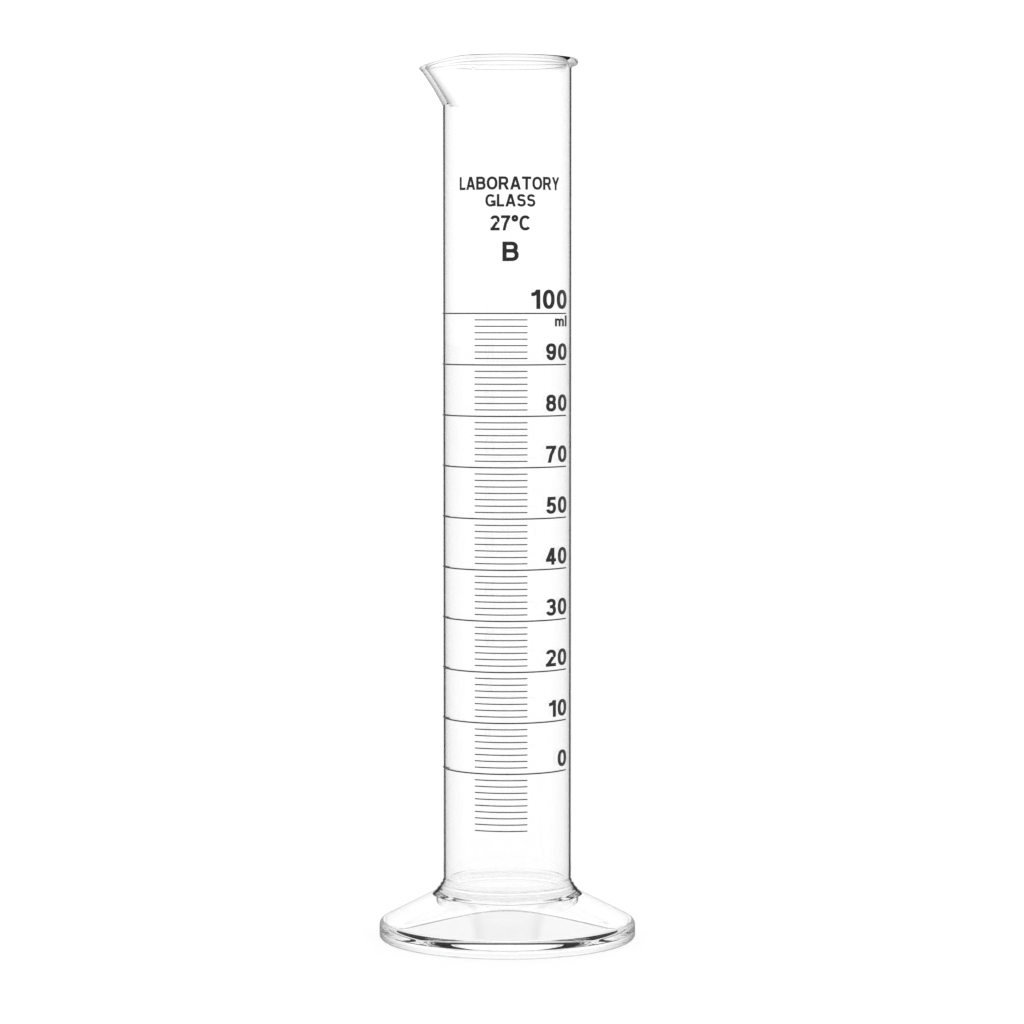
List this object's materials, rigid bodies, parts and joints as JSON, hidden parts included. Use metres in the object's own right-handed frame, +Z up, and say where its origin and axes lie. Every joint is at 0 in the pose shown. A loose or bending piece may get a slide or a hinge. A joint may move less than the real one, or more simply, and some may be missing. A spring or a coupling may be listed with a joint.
{
  "type": "graduated cylinder",
  "caption": "Tall clear glass measuring cylinder with a flared rim, a pouring spout, a printed millilitre scale and a wide round foot.",
  "frame": {"origin": "centre of the circle that the foot stands on", "axes": "+Z up along the barrel, -X towards the pouring spout, -Y towards the printed scale"},
  "size_m": [0.0652, 0.0652, 0.223],
  "materials": {
    "clear_glass": "clear fire-polished borosilicate glass",
    "black_enamel": "fired black ceramic enamel, thin and satin"
  },
  "bodies": {
    "root": {"barrel": "clear_glass", "rim_lip": "clear_glass", "pouring_spout": "clear_glass", "stem_collar": "clear_glass", "foot": "clear_glass", "long_lines": "black_enamel", "short_lines": "black_enamel"}
  },
  "joints": []
}
